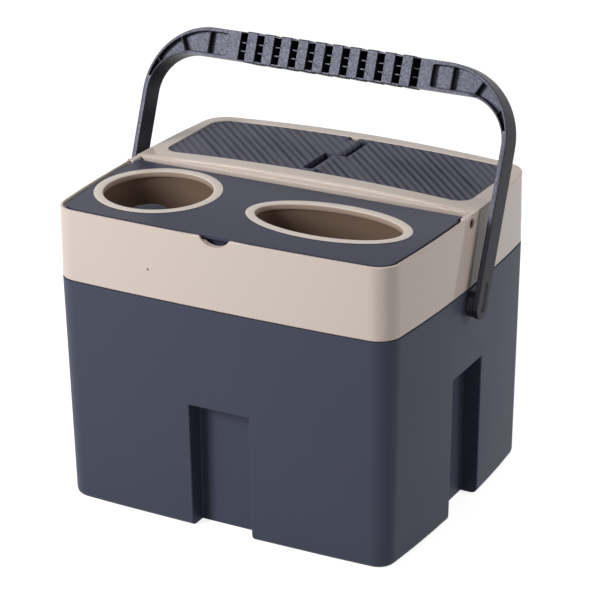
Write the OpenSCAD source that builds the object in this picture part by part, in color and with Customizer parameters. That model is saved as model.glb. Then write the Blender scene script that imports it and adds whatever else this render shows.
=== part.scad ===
// Car trash bin: a tapered bucket under a collar, with a lifting cup lid in front,
// a butterfly cover over a storage tray behind, and a bail handle.
// Millimetres. X runs to the right, Y to the back, Z up from the standing surface.

/* [Bucket] */
// Overall width at the collar
body_w = 280; // [268:1:292]
// Overall depth at the collar
body_d = 235; // [225:1:245]
// Height of the bucket up to the collar seam
bucket_h = 176; // [168:1:184]
// How far each wall leans in from the seam to the base
draft = 3.2; // [2.4:0.1:4]
// Radius of the upright corners
corner_r = 17.5; // [15:0.5:20]
// Bucket wall thickness
wall = 2.2; // [2:0.1:2.6]
// Radius round the foot of the bucket
foot_r = 4.6; // [3.5:0.1:5.5]
// Width of the front and back recesses
front_niche_w = 48.6; // [44:0.2:52]
// Height of the front and back recesses
front_niche_h = 97.8; // [90:0.2:104]
// Width of the side recesses
side_niche_w = 48; // [44:0.5:52]
// Height of the side recesses
side_niche_h = 112.5; // [106:0.5:118]
// Depth of every recess
niche_d = 14.5; // [12:0.5:16]

/* [Collar] */
// Height of the collar above the seam at the front
collar_h = 53.5; // [50:0.5:57]
// Collar wall thickness
collar_wall = 2.4; // [2.2:0.1:2.8]
// Height of the crown of the rear deck over the collar edge
deck_rise = 5; // [4:0.1:6]
// Width of the finger scoop in the front edge
scoop_w = 24; // [20:0.5:28]
// Depth of the finger scoop
scoop_h = 6; // [5:0.2:7]

/* [Lid and cups] */
// Thickness of the lid plate
lid_t = 2.5; // [2:0.1:3]
// How far the lid top lies under the collar edge
lid_drop = 0.9; // [0.5:0.1:1.4]
// Gap between the lid edge and the collar
lid_gap = 1.2; // [0.9:0.1:1.6]
// Depth of the skirt under the lid
lid_skirt = 9; // [7:0.5:11]
// Inner radius of the round cup at its lip
cup_r = 39.7; // [38:0.1:41]
// Width of the cup flange
flange_w = 7.2; // [6.6:0.1:8]
// Depth of the round cup
cup_depth = 58; // [50:1:62]
// Half length of the oval cup flange
oval_a = 63.7; // [61:0.1:66]
// Half width of the oval cup flange
oval_b = 34.9; // [33:0.1:37]
// Depth of the oval cup
oval_depth = 54; // [46:1:58]
// Width of the sprung tongue in the round cup
finger_w = 30; // [26:0.5:33]
// Height of the tongue below its pin
finger_h = 21; // [18:0.5:23]

/* [Butterfly cover] */
// Thickness of the flap plates
flap_t = 2.6; // [2.2:0.1:3]
// Gap round the flaps
flap_gap = 0.5; // [0.4:0.1:0.8]
// Radius of the hinge barrels
barrel_r = 3.4; // [3.2:0.1:3.8]
// Width of the slots beside the barrels
slot_w = 6; // [5.5:0.1:6.6]
// Spacing of the diagonal ridges
ridge_pitch = 5.8; // [5.4:0.1:6.6]
// Height of the diagonal ridges
ridge_h = 0.8; // [0.5:0.1:1]

/* [Handle] */
// Gap between each arm and the collar's side wall
arm_gap = 6; // [5:0.2:8]
// Height of the handle over its pivots
bail_h = 166.9; // [160:0.5:172]
// Depth of the handle from front to back
bail_w = 18.9; // [17:0.1:20]
// Thickness of the arms
arm_t = 3.8; // [3.4:0.1:4.4]
// Height of the grip
grip_h = 21.7; // [20:0.1:23]
// Outer radius of the handle corners
bail_ro = 53.2; // [50:0.5:56]
// Inner radius of the handle corners
bail_ri = 32.2; // [30:0.5:35]
// Depth of the slots between the grip bands
slot_d = 12.5; // [11:0.5:14]
// Depth of the pockets beside the grip and round the corners
pocket_d = 10; // [8:0.5:12]
// Spacing of the grip bands
band_pitch = 14.2; // [13.8:0.1:14.6]
// Lean of the handle towards the back in degrees
lean = 22; // [16:1:28]

/* [Hidden] */
eps = 0.01;
hw = body_w / 2;
hd = body_d / 2;
side_bow = 6.1;
front_bow = 3.1;
seam_z = bucket_h;
rim_z = seam_z + collar_h;
floor_t = 2.5;
run_gap = 0.06;
socket_gap = 0.1;

// divider between the bin and the storage side
nose_y = 7;
nose_z = rim_z + 0.5;
riser_y = 9.5;
riser_t = 2.2;
deck_top = rim_z + deck_rise;
deck_r = 2000;
deck_t = 2.6;
lip_t = 2;

// opening of the butterfly cover
open_x = hw - 13.8;
open_y0 = 22.5;
open_y1 = hd - 11.2;
open_r = 13;
open_mid = (open_y0 + open_y1) / 2;
ledge_w = 3;
ledge_z = rim_z - 7.8;
cover_r = 1950;
cover_top = deck_top - 0.5;
rod_r = 1.25;
rod_z = cover_top - barrel_r;
arm_len = 6.4;

// lid hinge
hinge_y = 4.4;
hinge_z = rim_z - 6.2;
lid_top = rim_z - lid_drop;
lid_y1 = 1.6;
pin_r = 2.2;
pin_head_r = 3.7;
pin_head_x = hw - 3.4;
ear_r = 3.6;
ear_t = 4;
boss_in = 5.3;
ring_z = lid_top + 1.2;
lid_front = -hd + collar_wall + 0.5 + lid_gap;
lid_side = hw - collar_wall - 0.5 - lid_gap;
side_spare = 2 * (lid_side - cup_r - flange_w - oval_a);
cup_spare = lid_y1 - lid_front - 2 * (cup_r + flange_w);
cup_y = lid_front + cup_r + flange_w + 0.807 * cup_spare;
oval_y = cup_y - 1.1;
cup_x = -lid_side + cup_r + flange_w + 0.07115 * side_spare;
oval_x = lid_side - oval_a - 0.3538 * side_spare;
tube_t = 1.6;
finger_az = 136;
finger_z = ring_z - 28.5;

// handle
bail_a = hw + arm_gap + arm_t;
pivot_y = 2.3;
pivot_z = seam_z - 12.7;
hub_r = 9;
stub_r = 4.2;
pad_x = hw + 0.3;

// Outline of the walls

// Half extent of a bowed wall at a place along it
function bowed(half, bow, along, span) = half - bow * pow(along / span, 2);

// Corner centre that keeps the corner arc tangent to both bowed walls
function corner_cx(a, r) = bowed(a, side_bow, hd - corner_r, hd) - r;
function corner_cy(b, r) = bowed(b, front_bow, hw - corner_r, hw) - r;

// One quarter of the outline, from the right wall to the back wall
function quarter(a, b, r) = let (cx = corner_cx(a, r), cy = corner_cy(b, r)) concat(
    [for (i = [0:3]) let (y = cy * i / 4) [bowed(a, side_bow, y, hd), y]],
    [for (i = [0:7]) let (t = 3 + 85.5 * i / 7) [cx + r * cos(t), cy + r * sin(t)]],
    [for (i = [3:-1:0]) let (x = cx * i / 4) [x, bowed(b, front_bow, x, hw)]]);

// Whole outline, drawn in by a distance from the collar seam size
function outline(inset) = let (
    q = quarter(hw - inset, hd - inset, max(corner_r - inset, 3)),
    n = len(q)) concat(
    q,
    [for (i = [n - 2:-1:0]) [-q[i][0], q[i][1]]],
    [for (i = [1:n - 1]) [-q[i][0], -q[i][1]]],
    [for (i = [n - 2:-1:1]) [q[i][0], -q[i][1]]]);

module slice(inset, z) {
    translate([0, 0, z])
        linear_extrude(eps)
            polygon(outline(inset));
}

// Straight wall prism between two heights
module prism(inset, z0, z1) {
    translate([0, 0, z0])
        linear_extrude(z1 - z0)
            polygon(outline(inset));
}

// Inset of the bucket wall at a height
function lean_in(z) = draft * (1 - z / seam_z);

// Solid with the leaning walls and the rounded foot
module tub_solid(inset, z0, z1, foot) {
    hull() {
        for (i = [0:3]) {
            t = 90 * i / 3;
            z = z0 + foot * (1 - sin(t));
            slice(inset + lean_in(z) + foot * (1 - cos(t)), z);
        }
        slice(inset + lean_in(z1 - 0.6), z1 - 0.6);
        slice(inset + lean_in(z1) + 0.5, z1 - eps);
    }
}

// Bucket

// The four recesses moulded into the walls, grown by a wall thickness for their inner side
module niches(grow) {
    for (s = [-1, 1]) {
        translate([-front_niche_w / 2 - grow, s > 0 ? hd - 2.5 - niche_d - grow : -hd - 10, -1])
            cube([front_niche_w + 2 * grow, niche_d + grow + 12.5, front_niche_h + grow + 1]);
        translate([s > 0 ? hw - 2 - niche_d - grow : -hw - 10, 3.2 - side_niche_w / 2 - grow, -1])
            cube([niche_d + grow + 12, side_niche_w + 2 * grow, side_niche_h + grow + 1]);
    }
}

module pivot_axis(x0, x1, r) {
    translate([x0, pivot_y, pivot_z])
        rotate([0, 90, 0])
            cylinder(h = x1 - x0, r = r, $fn = 48);
}

module bucket() {
    color([0.25, 0.26, 0.31])
    difference() {
        union() {
            difference() {
                tub_solid(0, 0, seam_z, foot_r);
                difference() {
                    tub_solid(wall, floor_t, seam_z + 2, foot_r - 1);
                    niches(wall);
                }
            }
            // bearing pads for the handle hubs, outside and inside the wall
            for (s = [-1, 1])
                pivot_axis(s > 0 ? hw - wall - 2.4 : -pad_x, s > 0 ? pad_x : -hw + wall + 2.4, 10);
        }
        niches(0);
        for (s = [-1, 1])
            pivot_axis(s > 0 ? hw - 10 : -hw - 10, s > 0 ? hw + 10 : -hw + 10, stub_r + socket_gap);
    }
}

// Collar

// Everything under the crowned surface of the rear deck
module crown(top, r, y0, y1, z0) {
    intersection() {
        translate([0, y1, top - r])
            rotate([90, 0, 0])
                cylinder(h = y1 - y0, r = r, $fn = 360);
        translate([-hw - 5, y0, z0])
            cube([2 * hw + 10, y1 - y0, top - z0 + 1]);
    }
}

// Opening of the butterfly cover, grown by a distance
module cover_plan(grow) {
    r = open_r + grow;
    x = open_x + grow;
    difference() {
        translate([-x, open_y0 - grow])
            square([2 * x, open_y1 - open_y0 + 2 * grow]);
        for (sx = [-1, 1])
            for (c = [[open_y0 - grow, 1], [open_y1 + grow, -1]])
                translate([sx * x, c[0]])
                    difference() {
                        translate([sx > 0 ? -r : -1, c[1] > 0 ? -1 : -r])
                            square(r + 1);
                        translate([-sx * r, c[1] * r])
                            circle(r, $fn = 48);
                    }
    }
}

// Boss on each side wall that carries a lid pin
module pin_bosses() {
    for (s = [-1, 1])
        translate([s > 0 ? hw - boss_in : -hw, -4.5, rim_z - 16])
            cube([boss_in, 15, 16]);
}

module collar_shell() {
    difference() {
        union() {
            hull() {
                slice(0.5, seam_z);
                slice(0, seam_z + 0.6);
                slice(0.5, rim_z - 0.8);
                slice(1.1, rim_z - eps);
            }
            // rear deck: a low nose, then the riser and the crowned top
            intersection() {
                prism(0.6, rim_z - 20, deck_top + 2);
                union() {
                    translate([-hw, riser_y - 1, rim_z - 10])
                        cube([2 * hw, 60, 10.1]);
                    crown(deck_top, deck_r, riser_y, hd + 5, rim_z - 20);
                }
            }
        }
        // front chamber
        intersection() {
            prism(collar_wall, lid_top - lid_t - 0.1, rim_z + 2);
            translate([-hw, -hd, 0])
                cube([2 * hw, hd + nose_y, 400]);
        }
        intersection() {
            prism(collar_wall + 3, 0, rim_z);
            translate([-hw, -hd, 0])
                cube([2 * hw, hd + nose_y, 400]);
        }
        intersection() {
            prism(collar_wall, seam_z + 8, rim_z - 8);
            translate([-hw, -hd, 0])
                cube([2 * hw, hd + riser_y, 400]);
        }
        // hollow behind the nose for the lid hinge
        translate([-hw + boss_in, nose_y - 1, 0])
            cube([2 * hw - 2 * boss_in, riser_y - nose_y + 1, nose_z - 1.7]);
        // finger scoop
        translate([0, -hd + 12, rim_z])
            rotate([90, 0, 0])
                scoop();
    }
}

// Scoop profile: a flat dip with rounded shoulders
module scoop() {
    r = (pow(scoop_w / 2 - 2, 2) + pow(scoop_h, 2)) / (2 * scoop_h);
    translate([0, r - scoop_h, -5])
        cylinder(h = 30, r = r, $fn = 96);
}

module nose() {
    // rounded bead along the front of the divider, with a groove behind it
    translate([-hw + 6, nose_y + 0.3, nose_z - 1.7])
        cube([2 * hw - 12, riser_y - nose_y + 0.2, 1.3]);
    translate([-hw + 6, nose_y + 1, nose_z - 0.9])
        rotate([0, 90, 0])
            cylinder(h = 2 * hw - 12, r = 1, $fn = 32);
}

module rear_hollow() {
    difference() {
        intersection() {
            prism(collar_wall, seam_z + 8, deck_top);
            crown(deck_top - deck_t, deck_r - deck_t, riser_y + riser_t, hd, seam_z);
        }
        // hanging wall and ledge round the cover opening
        translate([0, 0, ledge_z - 2])
            linear_extrude(60)
                cover_plan(lip_t);
        // lugs for the hinge rod
        translate([-5, open_y0 - 6, rod_z - 5])
            cube([10, open_y1 - open_y0 + 12, 20]);
    }
}

module collar() {
    color([0.81, 0.77, 0.73])
    difference() {
        union() {
            difference() {
                collar_shell();
                rear_hollow();
                // clear room inside, under the deck
                prism(collar_wall + 2, 0, seam_z + 8 + eps);
                translate([0, 0, ledge_z])
                    linear_extrude(60)
                        cover_plan(0);
                translate([0, 0, seam_z])
                    linear_extrude(60)
                        cover_plan(-ledge_w);
                translate([0, 0, seam_z])
                    linear_extrude(ledge_z - 2 - seam_z)
                        intersection() {
                            polygon(outline(collar_wall));
                            translate([-hw, riser_y + riser_t])
                                square([2 * hw, hd]);
                        }
            }
            nose();
            intersection() {
                pin_bosses();
                prism(0.5, 0, rim_z);
            }
            // skirt that plugs into the bucket
            difference() {
                prism(wall + 0.2, seam_z - 6, seam_z + 4);
                prism(collar_wall + 2, seam_z - 7, seam_z + 5);
                pivot_axis(-hw, hw, 10.6);
            }
        }
        lid_pin_bore(pin_r);
        for (s = [0, 1])
            mirror([s, 0, 0])
                lid_pin_axis(pin_head_x, hw + 2, pin_head_r);
        rod(rod_r, open_y0 - 5, open_y1 + 5);
    }
}

module lid_pin_axis(x0, x1, r) {
    translate([x0, hinge_y, hinge_z])
        rotate([0, 90, 0])
            cylinder(h = x1 - x0, r = r, $fn = 36);
}

module lid_pin_bore(r) {
    for (s = [0, 1])
        mirror([s, 0, 0])
            lid_pin_axis(hw - 12, hw + 2, r);
}

module rod(r, y0, y1) {
    translate([0, y1, rod_z])
        rotate([90, 0, 0])
            cylinder(h = y1 - y0, r = r, $fn = 36);
}

// Front lid

module ring_plan(grow) {
    translate([cup_x, cup_y])
        circle(cup_r + flange_w + grow, $fn = 96);
    translate([oval_x, oval_y])
        polygon(oval(grow));
}

// Ellipse of the oval cup flange, grown evenly by a distance
function oval(grow) = [for (i = [0:71]) let (
    t = 5 * i,
    n = [oval_b * cos(t), oval_a * sin(t)],
    m = norm(n)) [oval_a * cos(t) + grow * n[0] / m, oval_b * sin(t) + grow * n[1] / m]];

module lid_plan(inset) {
    intersection() {
        polygon(outline(collar_wall + 0.5 + lid_gap + inset));
        translate([-hw, -hd])
            square([2 * hw, hd + lid_y1 - inset]);
    }
}

module front_lid() {
    ear_x = hw - boss_in - 0.4 - ear_t;
    color([0.31, 0.31, 0.35])
    difference() {
        union() {
            difference() {
                union() {
                    translate([0, 0, lid_top - lid_t])
                        linear_extrude(lid_t)
                            lid_plan(0);
                    translate([0, 0, lid_top - lid_skirt])
                        linear_extrude(lid_skirt - lid_t + eps)
                            difference() {
                                lid_plan(4.2);
                                lid_plan(6);
                            }
                    // rims that steady the cups
                    translate([0, 0, lid_top - 7])
                        linear_extrude(7 - lid_t + eps)
                            intersection() {
                                ring_plan(-flange_w + 1.6 + 2 + tube_t);
                                lid_plan(4.2);
                            }
                }
                translate([0, 0, lid_top - 20])
                    linear_extrude(30)
                        ring_plan(-flange_w + 1.9 + tube_t);
                // corners cut clear of the pin bosses
                for (s = [-1, 1])
                    translate([s > 0 ? hw - boss_in - 0.6 : -hw, -7, 0])
                        cube([boss_in + 0.6, 20, 400]);
            }
            // hinge ears
            for (s = [-1, 1])
                translate([s > 0 ? ear_x : -ear_x - ear_t, 0, 0])
                    ear();
        }
        lid_pin_bore(pin_r + run_gap);
    }
}

module ear() {
    translate([0, hinge_y, hinge_z])
        rotate([0, 90, 0])
            cylinder(h = ear_t, r = ear_r, $fn = 48);
    translate([0, -12, hinge_z - ear_r])
        cube([ear_t, hinge_y + 12, ear_r]);
    translate([0, -12, hinge_z - ear_r])
        cube([ear_t, 12 + lid_y1 - 0.2, lid_top - lid_t - hinge_z + ear_r + eps]);
}

module lid_pins() {
    color([0.2, 0.2, 0.22])
    for (s = [0, 1])
        mirror([s, 0, 0])
            difference() {
                union() {
                    lid_pin_axis(hw - boss_in - 0.4 - ear_t, pin_head_x + 1, pin_r);
                    lid_pin_axis(pin_head_x, pin_head_x + 1.6, pin_head_r);
                }
                lid_pin_axis(pin_head_x + 0.8, pin_head_x + 2, pin_head_r - 1);
            }
}

// Cups

module round_cup() {
    r = cup_r;
    z1 = ring_z;
    color([0.86, 0.83, 0.79])
    translate([cup_x, cup_y, 0])
    difference() {
        union() {
            rotate_extrude($fn = 120)
                polygon([
                    [r - 9, z1 - cup_depth], [r - 3, z1 - cup_depth], [r + 1.8, z1 - cup_depth + 5],
                    [r + 1.8 + tube_t, z1 - cup_depth + 12], [r + 1.8 + tube_t, lid_top],
                    [r + flange_w, lid_top], [r + flange_w, z1 - 0.6], [r + flange_w - 0.6, z1],
                    [r + 2.3, z1], [r + 1.7, z1 - 0.3], [r + 1.3, z1 - 1], [r + 1, z1 - 2.2],
                    [r, z1 - 5], [r, z1 - 6], [r + 1.8, z1 - 7], [r + 1.8, z1 - cup_depth + 12],
                    [r - 3, z1 - cup_depth + 2], [r - 9, z1 - cup_depth + 2]]);
            translate([0, 0, z1 - cup_depth])
                cylinder(h = 2, r = r - 8, $fn = 120);
            rotate([0, 0, finger_az])
                finger_housing();
        }
        rotate([0, 0, finger_az])
            finger_window();
    }
}

// Cheeks on the outside of the tube that carry the finger's pins
module finger_housing() {
    for (s = [-1, 1])
        translate([cup_r - 0.9, s * (finger_w / 2 + 1.9) - 1, finger_z - 6])
            cube([8, 2, 9.2]);
}

module finger_window() {
    translate([cup_r - 6, -finger_w / 2 - 0.7, finger_z - finger_h - 1])
        cube([30, finger_w + 1.4, finger_h + 5]);
    translate([cup_r + 4, -finger_w / 2 - 4, finger_z])
        rotate([-90, 0, 0])
            cylinder(h = finger_w + 8, r = 1.5 + run_gap, $fn = 36);
}

module cup_finger() {
    h = finger_h - 1;
    color([0.16, 0.17, 0.2])
    translate([cup_x, cup_y, 0])
    rotate([0, 0, finger_az])
    union() {
        translate([cup_r + 4, -finger_w / 2 - 2.4, finger_z])
            rotate([-90, 0, 0])
                cylinder(h = finger_w + 4.8, r = 1.5, $fn = 36);
        translate([0, finger_w / 2, 0])
            rotate([90, 0, 0])
                linear_extrude(finger_w)
                    polygon([
                        [cup_r + 4.8, finger_z + 2.2], [cup_r + 1.6, finger_z + 2.2],
                        [cup_r - 2.5, finger_z - 0.11 * h], [cup_r - 5, finger_z - 0.37 * h],
                        [cup_r - 5.4, finger_z - 0.57 * h], [cup_r - 4, finger_z - 0.79 * h],
                        [cup_r + 1, finger_z - h], [cup_r + 2.8, finger_z - h],
                        [cup_r + 2.8, finger_z - 0.9 * h], [cup_r - 2, finger_z - 0.75 * h],
                        [cup_r - 3.2, finger_z - 0.57 * h], [cup_r - 2.8, finger_z - 0.37 * h],
                        [cup_r - 0.5, finger_z - 0.17 * h], [cup_r + 4.8, finger_z - 2]]);
    }
}

module oval_cup() {
    z1 = ring_z;
    color([0.86, 0.83, 0.79])
    translate([oval_x, oval_y, 0])
    difference() {
        union() {
            oval_band(0, lid_top, z1 - 0.6);
            oval_band(-0.6, lid_top, z1);
            oval_band(-flange_w + 1.8 + tube_t, z1 - oval_depth, z1 - 1);
        }
        oval_band(-flange_w + 1.8, z1 - oval_depth + 2, z1 - 6.5);
        oval_band(-flange_w, z1 - oval_depth / 2, z1 + 1);
        oval_band(-flange_w + 0.7, z1 - 3.5, z1 + 1);
        oval_band(-flange_w + 1.5, z1 - 1.6, z1 + 1);
        oval_band(-flange_w + 2.3, z1 - 0.4, z1 + 1);
    }
}

module oval_band(grow, z0, z1) {
    translate([0, 0, z0])
        linear_extrude(z1 - z0)
            polygon(oval(grow));
}

// Butterfly cover

// Plan of the right flap: the plate, its long hinge barrel in front and the short one behind
module flap_plan() {
    g = flap_gap;
    e = barrel_r + slot_w;
    difference() {
        union() {
            intersection() {
                cover_plan(-g);
                translate([e, 0])
                    square([hw, hd]);
            }
            translate([0, open_y0 + arm_len + g])
                square([e + 1, open_mid - open_y0 - arm_len - 1.5 * g]);
            translate([0, open_y1 - arm_len])
                square([e + 1, arm_len - g]);
        }
        // slot behind the short arm
        translate([-1, open_mid + g / 2])
            square([e + 1, open_y1 - arm_len - g / 2 - open_mid]);
    }
}

// Diagonal ridges, as strips between the grooves
module groove_strips() {
    step = ridge_pitch * sqrt(2);
    reach = (open_y1 - open_y0) / sqrt(2) + ridge_pitch;
    for (i = [-ceil(open_mid / step):ceil((hw + open_mid) / step)])
        translate([i * step, open_mid])
            rotate([0, 0, -45])
                translate([-reach, -ridge_pitch * 0.17])
                    square([2 * reach, ridge_pitch * 0.34]);
}

module cover_dome(drop, z0) {
    crown(cover_top - drop, cover_r - drop, open_y0 - 5, open_y1 + 5, z0);
}

module flap(groove_y0, groove_y1) {
    difference() {
        union() {
            difference() {
                intersection() {
                    translate([0, 0, rod_z - 15])
                        linear_extrude(40)
                            flap_plan();
                    cover_dome(0, rod_z - 30);
                }
                // underside, leaving a skirt round the plate
                difference() {
                    cover_dome(flap_t, rod_z - 40);
                    translate([0, 0, rod_z - 40])
                        linear_extrude(60)
                            difference() {
                                flap_plan();
                                flap_field();
                            }
                    barrels(barrel_r);
                }
                // skirt depth
                difference() {
                    cover_dome(flap_t + 3.4, rod_z - 40);
                    barrels(barrel_r);
                }
            }
            barrels(barrel_r);
        }
        grooves(groove_y0, groove_y1);
        barrel_relief();
        rod(rod_r + run_gap, open_y0 - 5, open_y1 + 5);
    }
}

// Plate field inside the skirt
module flap_field() {
    translate([barrel_r + slot_w + 2, open_y0 + 2.4])
        square([open_x - barrel_r - slot_w - 4.4, open_y1 - open_y0 - 4.8]);
}

// Long barrel in front, short barrel behind
module barrels(r) {
    g = flap_gap;
    rod(r, open_y0 + arm_len + g, open_mid - g / 2);
    rod(r, open_y1 - arm_len, open_y1 - g);
}

// Rounds the plate edge into the barrels so that it clears its neighbour
module barrel_relief() {
    difference() {
        translate([-20, open_y0 - 5, rod_z - 20])
            cube([20, open_y1 - open_y0 + 10, 40]);
        barrels(barrel_r);
    }
    for (b = [[open_y0 - 5, open_mid], [open_y1 - arm_len - 1, open_y1 + 5]])
        difference() {
            translate([-1, b[0], rod_z - 20])
                cube([barrel_r + 2, b[1] - b[0], 20 - 0.8]);
            rod(barrel_r, b[0] - 1, b[1] + 1);
        }
}

// A plain border stays along the front edge
module grooves(y0, y1) {
    intersection() {
        difference() {
            cover_dome(-1, rod_z - 5);
            cover_dome(ridge_h, rod_z - 30);
        }
        translate([0, 0, rod_z - 20])
            linear_extrude(60)
                intersection() {
                    groove_strips();
                    translate([barrel_r * 0.3, y0])
                        square([hw, y1 - y0]);
                }
    }
}

module flap_right() {
    color([0.3, 0.3, 0.34])
    flap(open_y0 + 2.2, open_y1 + 5);
}

module flap_left() {
    color([0.3, 0.3, 0.34])
    translate([0, 2 * open_mid, 0])
        rotate([0, 0, 180])
            flap(open_y0 - 5, open_y1 - 2.2);
}

module flap_rod() {
    color([0.7, 0.7, 0.72])
    rod(rod_r, open_y0 - 4.5, open_y1 + 4.5);
}

module storage_tray() {
    tray_depth = 62;
    g = 0.6;
    color([0.25, 0.26, 0.31])
    difference() {
        union() {
            translate([0, 0, ledge_z])
                linear_extrude(1.8)
                    cover_plan(-g);
            translate([0, 0, ledge_z - tray_depth])
                linear_extrude(tray_depth)
                    cover_plan(-ledge_w - g);
        }
        translate([0, 0, ledge_z - tray_depth + 2])
            linear_extrude(tray_depth)
                cover_plan(-ledge_w - g - 2);
    }
}

// Handle

// Side face outline of the bail, in its own plane, pivots at the origin
module bail_edge(a, r, h, foot) {
    difference() {
        translate([-a, foot])
            square([2 * a, h - foot]);
        for (s = [-1, 1])
            translate([s * a, h])
                difference() {
                    translate([s > 0 ? -r : -1, -r])
                        square(r + 1);
                    translate([-s * r, -r])
                        circle(r, $fn = 120);
                }
    }
}

module bail_strap() {
    difference() {
        bail_edge(bail_a, bail_ro, bail_h, -12);
        bail_edge(bail_a - arm_t, bail_ri, bail_h - grip_h, -13);
    }
}

band_n = 10;
grip_half = band_pitch * (band_n + 1) / 2 - 4;

module handle_solid() {
    w = bail_w;
    difference() {
        union() {
            translate([0, w / 2, 0])
                rotate([90, 0, 0])
                    linear_extrude(w)
                        bail_strap();
            // raised bands round the grip
            for (i = [0:band_n - 1])
                translate([(i - (band_n - 1) / 2) * band_pitch, 0, bail_h - grip_h / 2])
                    cube([8.4, w + 1.4, grip_h + 1.4], center = true);
            // hubs, bearing stubs and their snap heads
            for (s = [-1, 1]) {
                hub(s, pad_x + 0.3, bail_a - arm_t + eps, hub_r);
                hub(s, hw - wall - 3.6, pad_x + 1, stub_r);
                hub(s, hw - wall - 5.6, hw - wall - 3.4, stub_r + 1.2);
            }
        }
        // round the lower ends of the arms
        for (s = [-1, 1])
            translate([s > 0 ? bail_a - arm_t - 1 : -bail_a - 1, 0, 0])
                rotate([0, 90, 0])
                    difference() {
                        translate([0, -w, 0])
                            cube([30, 2 * w, arm_t + 2]);
                        translate([0, 0, -1])
                            cylinder(h = arm_t + 4, r = w / 2 + 0.3, $fn = 64);
                    }
        pockets();
    }
}

module hub(s, x0, x1, r) {
    translate([s > 0 ? x0 : -x1, 0, 0])
        rotate([0, 90, 0])
            cylinder(h = x1 - x0, r = r, $fn = 48);
}

// Cuts a drawing of the front face into the handle
module front_cut(depth) {
    translate([0, depth - bail_w / 2, 0])
        rotate([90, 0, 0])
            linear_extrude(depth + 1)
                children();
}

// Slots between the grip bands, then the pockets that run on round the corners
module pockets() {
    for (i = [0:band_n])
        front_cut(slot_d)
            slot_plan((i - band_n / 2) * band_pitch);
    for (s = [-1, 1]) {
        front_cut(pocket_d)
            end_pocket(s);
        front_cut(pocket_d)
            corner_pockets(s);
        arm_dish(s);
    }
}

// One slot, with two short ribs standing in it from the right
module slot_plan(x) {
    z0 = bail_h - grip_h + 1;
    h = grip_h - 2.1;
    difference() {
        translate([x - 3, z0])
            square([6, h]);
        for (f = [0.3, 0.62])
            translate([x - 1.3, z0 + f * h])
                square([5, 1]);
    }
}

pocket_z0 = bail_h - grip_h + 2.3;
pocket_z1 = bail_h - 3;

// Pocket beside the grip, rounded at its inner end
module end_pocket(s) {
    x0 = grip_half + 10.2;
    r = 1.8;
    difference() {
        translate([s > 0 ? x0 : -x0 - 15.3, pocket_z0])
            square([15.3, pocket_z1 - pocket_z0]);
        for (c = [[pocket_z0, 1], [pocket_z1, -1]])
            translate([s * x0, c[0]])
                difference() {
                    translate([s > 0 ? -1 : -r, c[1] > 0 ? -1 : -r])
                        square(r + 1);
                    translate([s * r, c[1] * r])
                        circle(r, $fn = 32);
                }
    }
}

// Channel that follows the corner, split by two ribs
module corner_pockets(s) {
    x0 = grip_half + 26.4;
    intersection() {
        difference() {
            bail_edge(bail_a - 1.9, bail_ro - 3, pocket_z1, 0);
            bail_edge(bail_a - arm_t + 1.1, bail_ri + 2.3, pocket_z0, -1);
            for (r = [[bail_a - 28, bail_h - 15.1, 62.6, 1], [bail_a - 9.4, bail_h - 29.4, 40.7, 0.8]])
                translate([s * r[0], r[1]])
                    rotate([0, 0, s > 0 ? r[2] : 180 - r[2]])
                        square([16, r[3]], center = true);
        }
        translate([s > 0 ? x0 : -bail_a, bail_h - 42])
            square([bail_a - x0, 60]);
    }
}

// Shallow dish in the outer face at the lower end of each arm
module arm_dish(s) {
    translate([s > 0 ? bail_a - 0.7 : -bail_a - 1, 0, 0])
        rotate([0, 90, 0])
            linear_extrude(1.7) {
                for (z = [1, -13.5])
                    translate([z, 0])
                        circle(3.6, $fn = 48);
                translate([-13.5, -3.6])
                    square([14.5, 7.2]);
            }
}

module handle() {
    color([0.22, 0.23, 0.27])
    translate([0, pivot_y, pivot_z])
        rotate([-lean, 0, 0])
            handle_solid();
}

bucket();
collar();
front_lid();
lid_pins();
round_cup();
oval_cup();
cup_finger();
flap_left();
flap_right();
flap_rod();
storage_tray();
handle();
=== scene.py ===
import math

import bpy
import numpy as np
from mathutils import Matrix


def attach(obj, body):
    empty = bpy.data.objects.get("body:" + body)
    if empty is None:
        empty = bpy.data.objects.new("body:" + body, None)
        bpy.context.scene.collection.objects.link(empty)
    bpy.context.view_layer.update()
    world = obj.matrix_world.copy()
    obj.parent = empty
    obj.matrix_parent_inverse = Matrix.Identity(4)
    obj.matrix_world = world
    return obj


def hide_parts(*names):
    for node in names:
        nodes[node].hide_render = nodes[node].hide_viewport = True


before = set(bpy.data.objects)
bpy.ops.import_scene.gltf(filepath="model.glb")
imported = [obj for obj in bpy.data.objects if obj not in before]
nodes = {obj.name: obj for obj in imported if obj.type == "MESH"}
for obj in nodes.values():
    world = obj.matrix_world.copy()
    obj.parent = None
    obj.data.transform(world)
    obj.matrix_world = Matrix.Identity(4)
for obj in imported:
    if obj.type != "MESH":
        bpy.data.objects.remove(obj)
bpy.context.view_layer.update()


# Camera: the bin seen from its front right, a little above the rim, through a long lens,
# as a product is photographed on a table.
camera_data = bpy.data.cameras.new("camera")
camera_data.sensor_width = 36
camera_data.lens = 151.69
camera = bpy.data.objects.new("camera", camera_data)
bpy.context.collection.objects.link(camera)
camera.location = (0.830, -1.511, 0.8558)
camera.rotation_euler = (math.radians(67.467), math.radians(0.55), math.radians(28.451))
bpy.context.scene.camera = camera


# Studio: a white sweep in a white room. A box light stands in front on the left, a weaker
# one behind on the right and a faint one overhead, so the corner between falls darker.
def linear(hex_colour):
    """sRGB hex to the linear RGBA that the shaders take."""
    out = []
    for i in (1, 3, 5):
        c = int(hex_colour[i:i + 2], 16) / 255
        out.append(c / 12.92 if c <= 0.04045 else ((c + 0.055) / 1.055) ** 2.4)
    return (*out, 1)


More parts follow.
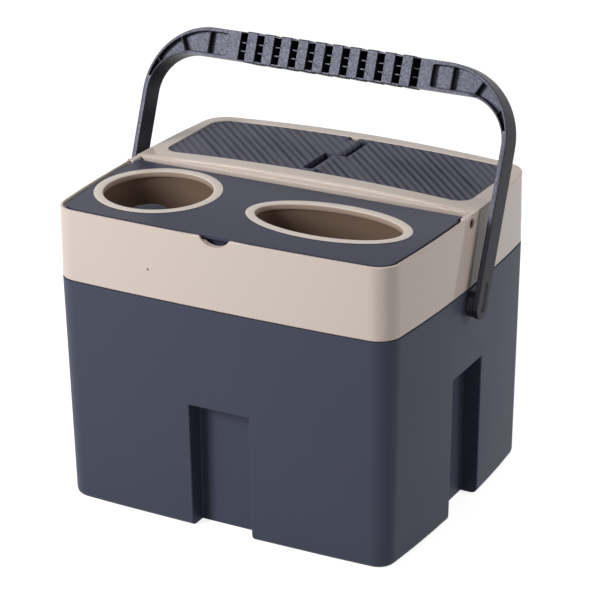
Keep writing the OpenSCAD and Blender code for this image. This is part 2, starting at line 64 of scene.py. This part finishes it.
def add_node(tree, kind, settings=None, links=None):
    """One shader node with its settings, and its inputs linked or set."""
    node = tree.nodes.new("ShaderNode" + kind)
    for name, value in (settings or {}).items():
        setattr(node, name, value)
    for socket, value in (links or {}).items():
        if isinstance(value, bpy.types.NodeSocket):
            tree.links.new(value, node.inputs[socket])
        else:
            node.inputs[socket].default_value = value
    return node


def deselect():
    if bpy.context.object and bpy.context.object.mode != "OBJECT":
        bpy.ops.object.mode_set(mode="OBJECT")
    bpy.ops.object.select_all(action="DESELECT")


world = bpy.data.worlds.new("studio")
bpy.context.scene.world = world
world.use_nodes = True
sky = world.node_tree
sky.nodes.clear()
rays = add_node(sky, "LightPath")
mirrored = add_node(sky, "Math", {"operation": "MAXIMUM"},
                    {0: rays.outputs["Is Glossy Ray"], 1: rays.outputs["Is Transmission Ray"]})
seen = add_node(sky, "Math", {"operation": "MAXIMUM"},
                {0: rays.outputs["Is Camera Ray"], 1: mirrored.outputs[0]})
room = add_node(sky, "Background", None, {"Color": linear("#FFFFFF"), "Strength": 0.12})
white = add_node(sky, "Background", None, {"Color": linear("#FFFFFF"), "Strength": 1.0})
mixed = add_node(sky, "MixShader", None, {0: seen.outputs[0], 1: room.outputs[0], 2: white.outputs[0]})
add_node(sky, "OutputWorld", None, {"Surface": mixed.outputs[0]})

aim_at = (0, 0, 0.16)
for name, place, size, watts in (
        ("front_left_box", (-0.80, -1.37, 0.93), (0.6, 0.75), 25),
        ("right_box", (1.40, 0.50, 0.72), (0.8, 0.8), 7),
        ("top_box", (0.10, 0.05, 1.70), (0.9, 0.9), 4)):
    lamp = bpy.data.lights.new(name, "AREA")
    lamp.shape = "RECTANGLE"
    lamp.size, lamp.size_y = size
    lamp.energy = watts
    box = bpy.data.objects.new(name, lamp)
    bpy.context.collection.objects.link(box)
    box.location = place
    aim = [goal - start for goal, start in zip(aim_at, place)]
    box.rotation_euler = (math.atan2(math.hypot(aim[0], aim[1]), -aim[2]), 0, math.atan2(-aim[0], aim[1]))

deselect()
bpy.ops.mesh.primitive_plane_add(size=8, location=(0, 0, -0.0005))
floor = bpy.context.object
floor.name = "floor"
paper = bpy.data.materials.new("white_paper_sweep")
paper.use_nodes = True
tree = paper.node_tree
tree.nodes.clear()
paper_rays = add_node(tree, "LightPath")
paper_seen = add_node(tree, "Math", {"operation": "MAXIMUM"},
                      {0: paper_rays.outputs["Is Camera Ray"], 1: paper_rays.outputs["Is Glossy Ray"]})
paper_lit = add_node(tree, "BsdfDiffuse", None, {"Color": linear("#C8C8C8")})
paper_glow = add_node(tree, "Emission", None, {"Color": linear("#FFFFFF"), "Strength": 0.84})
paper_sum = add_node(tree, "AddShader", None, {0: paper_lit.outputs[0], 1: paper_glow.outputs[0]})
paper_out = add_node(tree, "MixShader", None, {0: paper_seen.outputs[0], 1: paper_lit.outputs[0],
                                               2: paper_sum.outputs[0]})
add_node(tree, "OutputMaterial", None, {"Surface": paper_out.outputs[0]})
floor.data.materials.append(paper)


# Bucket: one injection moulding in slate polypropylene with a fine matt grain. Its walls
# lean in to a rounded foot, and every wall has a tall recess with softened edges.
def cad_copy(node, name, join_flats=True):
    """A copy of a CAD node's mesh, with its loose triangles joined up."""
    deselect()
    piece = bpy.data.objects.new(name, nodes[node].data.copy())
    piece.data.materials.clear()
    bpy.context.collection.objects.link(piece)
    bpy.context.view_layer.objects.active = piece
    piece.select_set(True)
    join_up(piece, join_flats)
    return piece


def join_up(piece, join_flats):
    bpy.ops.object.mode_set(mode="EDIT")
    bpy.ops.mesh.select_all(action="SELECT")
    bpy.ops.mesh.remove_doubles(threshold=0.00006)
    bpy.ops.mesh.dissolve_degenerate(threshold=0.00001)
    bpy.ops.mesh.select_all(action="SELECT")
    if join_flats:
        bpy.ops.mesh.dissolve_limited(angle_limit=math.radians(0.8))
    bpy.ops.object.mode_set(mode="OBJECT")


def soften(piece, round_mm, share=None, segments=2):
    """Rounds the sharp edges as in a mould.

    share gives each edge its part of the rounding, from its middle in mm and its direction."""
    bpy.ops.object.mode_set(mode="EDIT")
    bpy.ops.mesh.select_all(action="DESELECT")
    bpy.ops.mesh.select_mode(type="EDGE")
    bpy.ops.mesh.edges_select_sharp(sharpness=math.radians(33))
    bpy.ops.object.mode_set(mode="OBJECT")
    weights = piece.data.attributes.new("bevel_weight_edge", "FLOAT", "EDGE")
    for edge in piece.data.edges:
        if edge.select:
            a, b = (piece.data.vertices[i].co for i in edge.vertices)
            weights.data[edge.index].value = share((a + b) * 500, (b - a).normalized()) if share else 1
    rounding = piece.modifiers.new("rounding", "BEVEL")
    rounding.limit_method = "WEIGHT"
    rounding.width = round_mm / 1000
    rounding.segments = segments
    rounding.use_clamp_overlap = False
    bpy.ops.object.modifier_apply(modifier="rounding")
    smooth(piece)


def smooth(piece):
    bpy.ops.object.shade_smooth_by_angle(angle=math.radians(38))
    level = piece.modifiers.new("level", "WEIGHTED_NORMAL")
    level.keep_sharp = True
    bpy.ops.object.modifier_apply(modifier="level")


def moulded_plastic(name, colour, roughness, grain_mm, grain_depth_mm, ior=1.2, mottle=0.03, shine="#FFFFFF"):
    """Moulded plastic: an even colour with a faint mottle, and the grain of the mould.

    shine is the tint of what it mirrors head on."""
    material = bpy.data.materials.new(name)
    material.use_nodes = True
    tree = material.node_tree
    tree.nodes.clear()
    place = add_node(tree, "TexCoord")
    flow = add_node(tree, "TexNoise", None, {"Vector": place.outputs["Object"], "Scale": 14, "Detail": 3})
    tint = add_node(tree, "MapRange", None,
                    {"Value": flow.outputs["Fac"], "To Min": 1 - mottle, "To Max": 1 + mottle})
    shade = add_node(tree, "VectorMath", {"operation": "SCALE"},
                     {0: linear(colour)[:3], "Scale": tint.outputs[0]})
    grain = add_node(tree, "TexNoise", None,
                     {"Vector": place.outputs["Object"], "Scale": 1000 / grain_mm, "Detail": 2})
    bump = add_node(tree, "Bump", None,
                    {"Height": grain.outputs["Fac"], "Strength": 1.0, "Distance": grain_depth_mm / 1000})
    gloss = add_node(tree, "MapRange", None,
                     {"Value": flow.outputs["Fac"], "To Min": roughness * 0.9, "To Max": roughness * 1.1})
    shader = add_node(tree, "BsdfPrincipled", None, {
        "Base Color": shade.outputs[0], "Roughness": gloss.outputs[0], "Normal": bump.outputs[0], "IOR": ior,
        "Specular Tint": linear(shine)})
    add_node(tree, "OutputMaterial", None, {"Surface": shader.outputs[0]})
    return material


bucket = cad_copy("bucket", "bucket_moulding")
# The rim stands lower than the solid's, which opens the seam to a dark line.
for vertex in bucket.data.vertices:
    if vertex.co.z > 0.1753:
        vertex.co.z -= 0.0013 if vertex.co.z > 0.1759 else 0.0011
soften(bucket, 1.0, lambda p, way: 0.25 if p.z > 150 else 1)
bucket.data.materials.append(moulded_plastic("matt_polypropylene_slate", "#464959", 0.46, 0.7, 0.02))
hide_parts("bucket")
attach(bucket, "bin")


# Collar: one polished ABS moulding in warm beige that plugs into the bucket's mouth. It
# carries the lid's pins, the divider and the crowned deck round the butterfly cover.
scoop_half, scoop_foot, scoop_scale = 13, 221, (1.22, 1.12)
rim_z = 229.5
seam_z = 176


def collar_share(p, way):
    if p.z > 229.9 and abs(p.y - 9.5) < 0.3:
        return 0.8
    if p.z > 229.9 and p.y > 100:
        return min(max((130 - abs(p.x)) / 100, 0.15), 0.5)
    if p.z < 176.8:
        return 0.14
    return 0.3 if p.z > 229 and p.y < 0 else 0.12


collar = cad_copy("collar", "collar_moulding", False)
# The divider's top is cut into strips, which then curve down to its front edge.
for y in (12, 14, 16, 18):
    for face in collar.data.polygons:
        face.select = face.normal.z > 0.98 and face.center.z > 0.234 and face.center.y < 0.05
    bpy.ops.object.mode_set(mode="EDIT")
    bpy.ops.mesh.bisect(plane_co=(0, y / 1000, 0), plane_no=(0, 1, 0))
    bpy.ops.object.mode_set(mode="OBJECT")
for vertex in collar.data.vertices:
    x, y, z = (c * 1000 for c in vertex.co)
    if z > 234 and y < 18:
        vertex.co.z -= 0.00075 * ((18 - y) / 8.5) ** 2
    if y < -100 and abs(z - rim_z) < 0.05:
        vertex.co.z -= 0.0003
    if abs(x) < scoop_half and y < -112 and z > scoop_foot:
        vertex.co.x = x * scoop_scale[0] / 1000
        vertex.co.z = (rim_z + (z - rim_z) * scoop_scale[1]) / 1000
    if abs(x) < 134.2 and 7.2 < y < 9.6 and 227.9 < z < 228.35:
        vertex.co.z -= 0.0026
    if abs(z - seam_z) < 0.06:
        vertex.co.z -= 0.0006
soften(collar, 2.8, collar_share, 4)
# One dark speck lies on the front wall, as the photograph shows.
polished = moulded_plastic("polished_abs_beige", "#D5C7BD", 0.1, 6.0, 0.01, 1.24, 0.012)
tree = polished.node_tree
speck = add_node(tree, "VectorMath", {"operation": "DISTANCE"}, {
    0: tree.nodes["Texture Coordinate"].outputs["Object"], 1: (-0.0542, -0.1169, 0.1968)})
clean = add_node(tree, "MapRange", None, {"Value": speck.outputs["Value"], "From Min": 0.0005,
                                          "From Max": 0.0011})
speckled = add_node(tree, "Mix", {"data_type": "RGBA"}, {
    0: clean.outputs[0], 6: linear("#3A2F28"), 7: tree.nodes["Vector Math"].outputs[0]})
tree.links.new(speckled.outputs[2], tree.nodes["Principled BSDF"].inputs["Base Color"])
collar.data.materials.append(polished)
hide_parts("collar")
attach(collar, "bin")


# Front lid: a satin slate ABS plate with two cup openings, moulded in one with the ears at
# its rear corners that turn on the two pins. Its outer edges keep clear of the collar.
lid = cad_copy("front_lid", "front_lid_plate")
for vertex in lid.data.vertices:
    x, y, _ = vertex.co
    right = min(max((x - 0.118) / 0.017, 0), 1)
    left = min(max((-x - 0.118) / 0.017, 0), 1)
    front = min(max((-y - 0.1) / 0.015, 0), 1)
    vertex.co.x += -0.0013 * right + (0.0004 + 0.0009 * front) * left
    vertex.co.y += (0.002 + 0.0003 * left) * front
soften(lid, 0.4)
lid.data.materials.append(moulded_plastic("satin_abs_slate", "#3E3F50", 0.36, 0.5, 0.012, 1.2))
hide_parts("front_lid")
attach(lid, "lid")


# Round and oval cup: glossy beige ABS, lighter than the collar, dropped into the lid from
# above. Each has a flat flange with a soft outer edge, a rolled lip and a plain tube.
def cup(name, centre, half_x, half_y, depth):
    """A flanged cup, drawn up from a ring of its outline. half_x and half_y are the flange's."""
    top = 229.0
    profile = [(-3.8, -2.0), (-3.8, 4.5 - depth), (-4.6, 2.4 - depth), (-6.4, 0.8 - depth), (-9.4, -depth)]
    outside = [(-1.3, -1.2), (-1.2, -0.3), (-0.15, -0.3), (0, -0.22), (-0.05, -0.08), (-0.3, 0),
               (-6.2, 0), (-6.45, -0.06), (-6.65, -0.3), (-6.8, -0.9), (-6.95, -1.8), (-7.0, -2.8),
               (-6.95, -3.6), (-6.7, -4.3), (-6.2, -4.8), (-5.4, -5.0), (-5.4, 6 - depth),
               (-6.2, 3.8 - depth), (-8, 2.4 - depth), (-10.5, 2 - depth)]
    deselect()
    bpy.ops.mesh.primitive_circle_add(vertices=128, radius=1)
    piece = bpy.context.object
    piece.name = name
    loops = [(-10.5, -depth)] + profile[::-1] + [(-3.8, -1.2)] + outside
    bpy.ops.object.mode_set(mode="EDIT")
    bpy.ops.mesh.select_all(action="SELECT")
    bpy.ops.mesh.edge_face_add()
    for _ in loops[1:]:
        bpy.ops.mesh.extrude_region_move()
    bpy.ops.object.mode_set(mode="OBJECT")
    for count, (grow, height) in enumerate(loops):
        for vertex in piece.data.vertices[count * 128:count * 128 + 128]:
            turn = math.atan2(vertex.co.y, vertex.co.x)
            vertex.co = ((centre[0] + (half_x + grow) * math.cos(turn)) / 1000,
                         (centre[1] + (half_y + grow) * math.sin(turn)) / 1000, (top + height) / 1000)
    return piece


round_cup = cup("round_cup_moulding", (-85.4, -49.4), 46.9, 46.9, 58)
oval_cup = cup("oval_cup_moulding", (54.3, -50.5), 63.7, 34.9, 54)
ring_abs = moulded_plastic("polished_abs_cream", "#E3D7CD", 0.3, 6.0, 0.01, 1.27, 0.012)
tree = ring_abs.node_tree
# Painted shade: the rolled lip and the tube below it are darker than the flange, for the shade under the
# flange and in the cup.
spot = add_node(tree, "SeparateXYZ", None, {0: tree.nodes["Texture Coordinate"].outputs["Object"]})
lip_shade_mask = add_node(tree, "MapRange", None, {"Value": spot.outputs["Z"], "From Min": 0.2280, "From Max": 0.2287})
lip_painted_shade = add_node(tree, "Mix", {"data_type": "RGBA"}, {
    0: lip_shade_mask.outputs[0], 6: linear("#AF9A8B"), 7: tree.nodes["Vector Math"].outputs[0]})
# Painted shade: the tube below the lip is darker still, for the shade deep in the cup.
tube_shade_mask = add_node(tree, "MapRange", None, {
    "Value": spot.outputs["Z"], "From Min": 0.2240, "From Max": 0.2244})
tube_painted_shade = add_node(tree, "Mix", {"data_type": "RGBA"}, {
    0: tube_shade_mask.outputs[0], 6: linear("#725F51"), 7: lip_painted_shade.outputs[2]})
tree.links.new(tube_painted_shade.outputs[2], tree.nodes["Principled BSDF"].inputs["Base Color"])
for piece, node in ((round_cup, "round_cup"), (oval_cup, "oval_cup")):
    bpy.context.view_layer.objects.active = piece
    deselect()
    piece.select_set(True)
    bpy.ops.object.mode_set(mode="EDIT")
    bpy.ops.mesh.select_all(action="SELECT")
    bpy.ops.mesh.remove_doubles(threshold=0.00001)
    bpy.ops.mesh.normals_make_consistent(inside=False)
    bpy.ops.object.mode_set(mode="OBJECT")
    bpy.ops.object.shade_smooth_by_angle(angle=math.radians(40))
    piece.data.materials.append(ring_abs)
    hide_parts(node)
    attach(piece, "lid")


# Sprung tongue: a glossy near-black ABS piece that leans into the round cup on the far left
# and holds a thin can. It turns on pins in two cheeks outside the tube.
tongue = cad_copy("cup_finger", "cup_tongue")
soften(tongue, 0.5, None, 3)
tongue.data.materials.append(
    moulded_plastic("polished_abs_black", "#3C3D48", 0.3, 5.0, 0.01, 1.6, 0.01, "#E6E8FF"))
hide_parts("cup_finger")
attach(tongue, "finger")


# Lid pins: two dark moulded pins, pushed in from the collar's sides until their dished
# heads lie below the wall.
pin_dark = moulded_plastic("moulded_acetal_brown", "#6A5647", 0.4, 0.6, 0.01)
nodes["lid_pins"].data.materials.append(pin_dark)
for slot in nodes["lid_pins"].material_slots:
    slot.material = pin_dark


# Butterfly cover: two slate ABS flaps with soft diagonal ridges and a fine twill grain, each
# the other turned half round. Their barrels interleave on a steel rod along the middle.
ridge_pitch = 5.8
middle_y = 64.4


def crown(x):
    """Height of the cover's surface in mm."""
    return 234 - 1950 + math.sqrt(1950 ** 2 - x ** 2)


def edge_distance(x, y):
    """How far a place on the right flap lies inside its outline, in mm."""
    dx = x - (125.7 - 12.5)
    dy = abs(y - middle_y) - (41.4 - 12.5)
    if dx > 0 and dy > 0:
        inside = 12.5 - math.hypot(dx, dy)
    else:
        inside = min(125.7 - x, 41.4 - abs(y - middle_y))
    front_slot = math.hypot(max(x - 9.4, 0), max(y - 29.4, 0))
    rear_slot = math.hypot(max(x - 9.4, 0), max(64.15 - y, y - 99.9, 0))
    return min(inside, front_slot, rear_slot)


def fill_grooves(piece):
    for vertex in piece.data.vertices:
        x, y, z = (c * 1000 for c in vertex.co)
        if abs(x) > 0.9 and abs(z - crown(x) + 0.45) < 0.55 and abs(math.hypot(x, z - 230.6) - 3.4) > 0.04:
            vertex.co.z = crown(x) / 1000
    join_up(piece, True)


def press_ridges(piece, side):
    """Cuts the top into a fine net along the ridges, then presses the ridges into it."""
    def top_faces():
        count = len(piece.data.polygons)
        middles = np.empty(count * 3)
        normals = np.empty(count * 3)
        piece.data.polygons.foreach_get("center", middles)
        piece.data.polygons.foreach_get("normal", normals)
        x, _, z = middles.reshape(-1, 3).T * 1000
        surface = 234 - 1950 + np.sqrt(1950 ** 2 - x ** 2)
        return (normals.reshape(-1, 3)[:, 2] > 0.98) & (z > surface - 0.2) & (np.abs(x) > 1)

    across = math.sqrt(0.5)
    cuts = [(k * 2.6, (across, -across, 0)) for k in range(-60, 60)]
    cuts += [(k * ridge_pitch / 6, (across, across, 0)) for k in range(-130, 131)]
    for shift, normal in cuts:
        if abs(shift) > 122:
            continue
        piece.data.polygons.foreach_set("select", top_faces())
        bpy.ops.object.mode_set(mode="EDIT")
        bpy.ops.mesh.bisect(plane_co=(shift * normal[0] / 1000, (middle_y + shift * normal[1]) / 1000, 0),
                            plane_no=normal)
        bpy.ops.object.mode_set(mode="OBJECT")
    tops = {i for face, is_top in zip(piece.data.polygons, top_faces()) if is_top for i in face.vertices}
    for i in tops:
        vertex = piece.data.vertices[i]
        x, y = vertex.co.x * 1000, vertex.co.y * 1000
        inside = edge_distance(side * x, middle_y + side * (y - middle_y))
        fade = min(max((inside - 0.9) / 1.6, 0), 1) * min(max((abs(x) - 2.6) / 1.2, 0), 1)
        along = (x + y - middle_y) * across / ridge_pitch
        if fade > 0:
            vertex.co.z = (crown(x) - 0.7 * fade * (0.5 + 0.5 * math.cos(2 * math.pi * along)) ** 1.8) / 1000


# The pattern turns with the ridges: painted shade darkens the valleys along them, and a woven grain runs
# across them.
twill = moulded_plastic("twilled_abs_slate", "#505061", 0.42, 0.5, 0.015, 1.2)
tree = twill.node_tree
turned = add_node(tree, "Mapping", None, {
    "Vector": tree.nodes["Texture Coordinate"].outputs["Object"], "Location": (0, -middle_y / 1000, 0)})
turned = add_node(tree, "Mapping", None, {
    "Vector": turned.outputs[0], "Rotation": (0, 0, math.radians(-45))})
valley = add_node(tree, "TexWave", {"bands_direction": "X"}, {
    "Vector": turned.outputs[0], "Scale": 314.159 / ridge_pitch})
weave = add_node(tree, "TexWave", {"bands_direction": "Y"}, {
    "Vector": turned.outputs[0], "Scale": 314.159 / 1.5, "Distortion": 0.6, "Detail": 1})
# Painted shade: the colour is darkened in the valleys between the ridges.
valley_shade_ramp = add_node(tree, "MapRange", None, {"Value": valley.outputs["Fac"], "From Max": 0.6, "To Min": 0.5})
valley_painted_shade = add_node(tree, "VectorMath", {"operation": "SCALE"}, {
    0: tree.nodes["Vector Math"].outputs[0], "Scale": valley_shade_ramp.outputs[0]})
tree.links.new(valley_painted_shade.outputs[0], tree.nodes["Principled BSDF"].inputs["Base Color"])
woven = add_node(tree, "Bump", None, {
    "Height": weave.outputs["Fac"], "Strength": 1.0, "Distance": 0.00012,
    "Normal": tree.nodes["Bump"].outputs[0]})
tree.links.new(woven.outputs[0], tree.nodes["Principled BSDF"].inputs["Normal"])
for node, body, side in (("flap_left", "flap_l", -1), ("flap_right", "flap_r", 1)):
    flap = cad_copy(node, node + "_ridged")
    fill_grooves(flap)
    soften(flap, 0.4)
    press_ridges(flap, side)
    smooth(flap)
    flap.data.materials.append(twill)
    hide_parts(node)
    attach(flap, body)


# Hinge rod: drawn steel wire, cut to length, pushed through both flaps' barrels and held
# at its ends by the collar.
steel = moulded_plastic("drawn_steel", "#9A9A9C", 0.3, 0.5, 0.01)
steel.node_tree.nodes["Principled BSDF"].inputs["Metallic"].default_value = 1
nodes["flap_rod"].data.materials.append(steel)
for slot in nodes["flap_rod"].material_slots:
    slot.material = steel


# Storage tray: a plain dark polypropylene moulding that hangs by its flange under the
# butterfly cover and keeps small things apart from the litter.
tray = cad_copy("storage_tray", "storage_tray_moulding")
soften(tray, 0.6)
tray.data.materials.append(moulded_plastic("matt_polypropylene_dark", "#31333F", 0.5, 0.7, 0.02))
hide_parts("storage_tray")
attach(tray, "bin")


# Handle: one glass-filled nylon channel moulding. Its grip is banded, its front is cored out
# into pockets with thin ribs, and its arms end in stubs that turn in the bucket's pads.
lean = math.radians(22)
pivot_y, pivot_z = 2.3, 163.3
pocket_floor, pocket_lift = 0.55, 5


def on_bail(y, z):
    """How far a place lies up along the leaning arms from the pivot, and how far behind it."""
    dy, dz = y - pivot_y, z - pivot_z
    return dy * math.sin(lean) + dz * math.cos(lean), dy * math.cos(lean) - dz * math.sin(lean)


def handle_share(p, way):
    up, off = on_bail(p.y, p.z)
    if up < 24:
        return 0.5 if abs(off) < 4.5 or abs(off) > 7 else 0.3
    if abs(p.x) < 80:
        return 1.1 if abs(way.x) > 0.9 else 0.3
    return 0.7


handle = cad_copy("handle", "handle_moulding", False)
# The corner pockets are shallower than the slots of the grip.
for vertex in handle.data.vertices:
    up, off = on_bail(vertex.co.y * 1000, vertex.co.z * 1000)
    if abs(off - pocket_floor) < 0.1 and up > 60:
        vertex.co.y -= pocket_lift / 1000 * math.cos(lean)
        vertex.co.z += pocket_lift / 1000 * math.sin(lean)
soften(handle, 0.8, handle_share)
# The front is spark-eroded and so speckled; the rest of the mould is smooth. Painted light: the front faces
# get a lighter, more mirroring copy of the black nylon and the other faces a darker, duller one, for the
# lamp's sheen on the front and shade on the arms.
handle.data.materials.append(moulded_plastic("smooth_nylon_black_shaded", "#36363E", 0.32, 1.2, 0.008, 1.13))
grained_lit_copy = moulded_plastic("grained_nylon_black_lit", "#3B3B45", 0.44, 1.4, 0.05, 1.5, 0.06, "#E6E8FF")
tree = grained_lit_copy.node_tree
pits = add_node(tree, "TexNoise", None, {
    "Vector": tree.nodes["Texture Coordinate"].outputs["Object"], "Scale": 640, "Detail": 1})
dulled = add_node(tree, "MapRange", None, {
    "Value": pits.outputs["Fac"], "From Min": 0.3, "From Max": 0.7, "To Min": 0.37, "To Max": 0.52})
tree.links.new(dulled.outputs[0], tree.nodes["Principled BSDF"].inputs["Roughness"])
handle.data.materials.append(grained_lit_copy)
# Painted light: the faces that look to the front take the lighter, more mirroring copy; the rest keep the
# darker one.
for face in handle.data.polygons:
    if face.normal.z * math.sin(lean) - face.normal.y * math.cos(lean) > 0.9:
        face.material_index = 1
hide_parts("handle")
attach(handle, "handle")

bpy.context.scene.view_settings.view_transform = "Standard"
